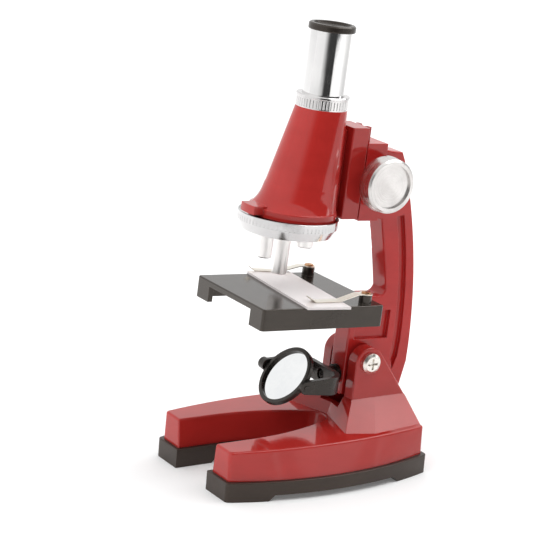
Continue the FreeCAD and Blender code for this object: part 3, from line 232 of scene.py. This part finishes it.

# Each moulding's third colour is its pale edge colour, for flecks and for edges: partly wear, partly a
# painted highlight.
RED = moulded("red_moulding", rgb(168, 41, 37), rgb(179, 45, 41), rgb(214, 92, 88), 0.07, 0.03, 0.02)
# The arm's red is a lighter, redder copy of the base red: painted light standing in for the brighter light on
# the arm; its gloss is rougher too.
RED_ARM_PAINTED_LIGHTER = moulded("red_arm_moulding_painted_lighter", rgb(176, 36, 34), rgb(188, 40, 37), rgb(208, 86, 82), 0.11, 0.04, 0.03)
BLACK = moulded(
    "black_moulding", rgb(42, 33, 29), rgb(52, 42, 36), rgb(96, 86, 80), 0.36, 0.08, 0.16, glint=WARM
)
CAP = moulded("cap_moulding", rgb(34, 30, 27), rgb(44, 39, 35), rgb(96, 88, 80), 0.26, 0.08, 0.10, glint=WARM)
STAGE = moulded(
    "stage_moulding", rgb(38, 34, 30), rgb(48, 43, 38), rgb(100, 92, 84), 0.17, 0.05, 0.02,
    index=1.58, glint=WARM,
)
FORK = moulded(
    "fork_moulding", rgb(28, 26, 24), rgb(38, 35, 33), rgb(84, 80, 76), 0.28, 0.08, 0.10, glint=WARM
)
WHITE = moulded(
    "white_moulding", rgb(222, 218, 208), rgb(232, 229, 220), rgb(246, 244, 240), 0.38, 0.08, 0.10
)
TUBE = plated("polished_tube", rgb(238, 237, 236), rgb(228, 227, 227), 0.05)
CHROME = plated("bright_plate", rgb(228, 226, 225), rgb(216, 214, 214), 0.10)
SATIN = plated("satin_plate", rgb(248, 245, 243), rgb(240, 237, 235), 0.28)
TURRET = plated("turret_plate", rgb(214, 213, 213), rgb(204, 202, 202), 0.12, (500.0, 500.0, 900.0))
KNOB = spun("spun_knob", rgb(227, 224, 222), rgb(206, 202, 200), knob_centre, 0.22)
STEEL = plated("zinc_steel", rgb(238, 233, 226), rgb(222, 216, 208), 0.24, (700.0, 60.0, 700.0), 0.08)
SPRING = plated("spring_steel", rgb(240, 235, 224), rgb(228, 221, 208), 0.26, (60.0, 900.0, 900.0), 0.06)
BRASS = plated("brass_rivet", rgb(206, 160, 120), rgb(186, 134, 96), 0.22, (700.0, 700.0, 80.0), 0.06)
SLIDE = clear("slide_glass", rgb(244, 237, 236), 0.14, 0.12, rgb(236, 228, 228))
LENS = clear("lens_glass", rgb(190, 138, 96), 0.02, 0.72, rgb(160, 108, 72))
DARK_STEEL = plated("blackened_steel", rgb(52, 50, 48), rgb(40, 38, 37), 0.32, (700.0, 60.0, 700.0), 0.08)
MIRROR = silvered("silvered_glass")

LOOKS = {
    RED: ("base_shell", "body_tube", "rack_carriage"),
    RED_ARM_PAINTED_LIGHTER: ("arm",),
    BLACK: ("base_plate", "hinge_washers", "focus_washers", "lens_spacer", "field_lens_ring",
            "objective_lens_rings"),
    CAP: ("eyepiece_cap",),
    STAGE: ("stage_plate",),
    FORK: ("mirror_fork", "fork_washer", "mirror_ring"),
    WHITE: ("focus_pinion", "focus_rack"),
    TUBE: ("draw_tube",),
    CHROME: ("collar_ring",),
    SATIN: ("objective_long", "objective_short", "objective_medium"),
    TURRET: ("turret_disc",),
    KNOB: ("focus_knob_right", "focus_knob_left"),
    STEEL: ("base_screws", "hinge_bolt", "hinge_nut", "stage_screws", "pinion_shaft", "carriage_screws",
            "turret_screw", "detent_ball"),
    DARK_STEEL: ("fork_screw",),
    SPRING: ("stage_clip_right", "stage_clip_left", "turret_spring_washer", "detent_spring"),
    BRASS: ("clip_rivets",),
    SLIDE: ("specimen_slide",),
    LENS: ("eye_lens", "field_lens", "lens_long", "lens_short", "lens_medium"),
    MIRROR: ("mirror_glass",),
}
for look, names in LOOKS.items():
    for name in names:
        slots = nodes[name].data.materials
        if not slots:
            slots.append(look)
        for index in range(len(slots)):
            slots[index] = look


# ---- studio ----


def stage_mesh(name, points, faces, material):
    mesh = bpy.data.meshes.new(name)
    mesh.from_pydata(points, [], faces)
    mesh.materials.append(material)
    made = bpy.data.objects.new(name, mesh)
    scene.collection.objects.link(made)
    return made


def paper():
    """Seamless white paper with a faint fibre; its slight glow keeps it as white as the background."""
    s = Surface("studio_paper")
    colour = s.blend(s.noise(900.0, 3.0), rgb(236, 236, 236), rgb(239, 239, 239))
    return s.finish(
        Base_Color=colour, Roughness=0.85, Normal=s.bump(s.noise(1800.0), 0.05, 0.0001),
        Emission_Color=rgb(255, 255, 255), Emission_Strength=0.12,
    )


def glowing(name, stops):
    """A glow whose brightness runs along a wall's length; stops are (share of it, brightness)."""
    s = Surface(name)
    along = s.add("Attribute", attribute_name="along").outputs["Fac"]
    colour = s.ramp(along, [(share, (level, level, level, 1.0)) for share, level in stops])
    glow = s.add("Emission")
    s.fill(glow, Color=colour, Strength=1.0)
    s.join(glow.outputs["Emission"], s.tree.nodes["Material Output"].inputs["Surface"])
    return s.material


# The camera's bearing, elevation and roll in degrees, its distance and offsets in metres, and its
# focal length in frame widths.
FACING = 56.426
ELEVATION = 15.620
ROLL = 4.820
DISTANCE = 1.042765
FOCAL_WIDTHS = 3.792782
OFF_RIGHT = -0.025196
OFF_UP = -0.000766
LOOK_AT = Vector((0.0, 0.00885, 0.1))
SENSOR_WIDTH = 36.0
NEAR_CLIP, FAR_CLIP = 0.05, 60.0

# The studio in metres, with the walls' ends in degrees to the right of the camera.
FLOOR_HALF = 9.0
WALL_LEFT, WALL_RIGHT = -80.0, 140.0
WALL_RADIUS = 0.56
WALL_STEPS = 88
WALL_FOOT, WALL_SPLIT, WALL_TOP = 0.045, 0.145, 0.50
AIM_HEIGHT = 0.11
SKY_STRENGTH = 0.98

corners = [(-1, -1), (1, -1), (1, 1), (-1, 1)]
stage_mesh(
    "studio_floor", [(x * FLOOR_HALF, y * FLOOR_HALF, 0) for x, y in corners], [(0, 1, 2, 3)], paper()
)


def light_wall(name, bottom, top, stops):
    """A curved glowing band on the camera's side; stops are (degrees right of it, brightness)."""
    span = WALL_RIGHT - WALL_LEFT
    points, faces, along = [], [], []
    for index in range(WALL_STEPS + 1):
        share = index / WALL_STEPS
        angle = math.radians(FACING + WALL_LEFT + span * share)
        x, y = WALL_RADIUS * math.sin(angle), -WALL_RADIUS * math.cos(angle)
        points += [(x, y, bottom), (x, y, top)]
        along += [share, share]
        if index:
            faces.append((2 * index - 2, 2 * index, 2 * index + 1, 2 * index - 1))
    look = glowing(name, [((turn - WALL_LEFT) / span, level) for turn, level in stops])
    wall = stage_mesh(name, points, faces, look)
    wall.data.attributes.new("along", "FLOAT", "POINT").data.foreach_set("value", along)
    wall.visible_camera = False


# The low wall is what the polished tubes mirror: bright, with one dark band.
light_wall("low_wall", WALL_FOOT, WALL_SPLIT, (
    (-80, 1.0), (-34, 0.86), (-14, 0.62), (-3, 0.05), (31, 0.04), (35, 1.2),
    (60, 1.4), (84, 1.3), (98, 1.0), (120, 0.8), (132, 1.0),
))
# The high wall is bright on its left and dark in its middle, with one narrow strip of light on its right.
light_wall("high_wall", WALL_SPLIT, WALL_TOP, (
    (-80, 1.1), (-30, 1.0), (-8, 0.12), (0, 0.05), (98, 0.05), (103, 2.6),
    (109, 2.6), (114, 0.25), (132, 0.6),
))


def soft_box(name, turn, height, distance, wide, tall, power, mirrored=False):
    """An area light, turn degrees to the right of the camera, turned towards the object."""
    light = bpy.data.lights.new(name, "AREA")
    light.shape = "RECTANGLE"
    light.size = wide
    light.size_y = tall
    light.energy = power
    made = bpy.data.objects.new(name, light)
    scene.collection.objects.link(made)
    angle = math.radians(FACING + turn)
    made.location = (distance * math.sin(angle), -distance * math.cos(angle), height)
    away = made.location - Vector((0.0, 0.0, AIM_HEIGHT))
    made.rotation_mode = "QUATERNION"
    made.rotation_quaternion = away.to_track_quat("Z", "Y")
    made.visible_camera = False
    made.visible_glossy = mirrored


soft_box("key_light", turn=-48, height=1.35, distance=1.25, wide=1.1, tall=1.1, power=11.0)
soft_box("top_light", turn=112, height=1.50, distance=1.00, wide=1.3, tall=1.3, power=14.0, mirrored=True)
soft_box("rear_light", turn=190, height=1.2, distance=1.4, wide=1.2, tall=0.8, power=3.0)
soft_box("side_light", turn=40, height=0.75, distance=1.3, wide=0.9, tall=0.9, power=4.0)

world = bpy.data.worlds.new("studio_world")
scene.world = world
world.use_nodes = True
sky = world.node_tree.nodes["Background"]
sky.inputs["Color"].default_value = (1.0, 1.0, 1.0, 1.0)
sky.inputs["Strength"].default_value = SKY_STRENGTH
scene.view_settings.view_transform = "Standard"

# ---- camera ----

turn, lift, roll = (math.radians(value) for value in (FACING, ELEVATION, ROLL))
back = Vector((math.sin(turn) * math.cos(lift), -math.cos(turn) * math.cos(lift), math.sin(lift)))
level = Vector((math.cos(turn), math.sin(turn), 0.0))
upward = back.cross(level)
right = level * math.cos(roll) + upward * math.sin(roll)
above = upward * math.cos(roll) - level * math.sin(roll)
optics = bpy.data.cameras.new("photo_camera")
optics.sensor_width = SENSOR_WIDTH
optics.lens = SENSOR_WIDTH * FOCAL_WIDTHS
optics.clip_start = NEAR_CLIP
optics.clip_end = FAR_CLIP
camera = bpy.data.objects.new("photo_camera", optics)
scene.collection.objects.link(camera)
axes = Matrix((right, above, back)).transposed().to_4x4()
spot = LOOK_AT + back * DISTANCE + right * OFF_RIGHT + above * OFF_UP
camera.matrix_world = Matrix.Translation(spot) @ axes
scene.camera = camera
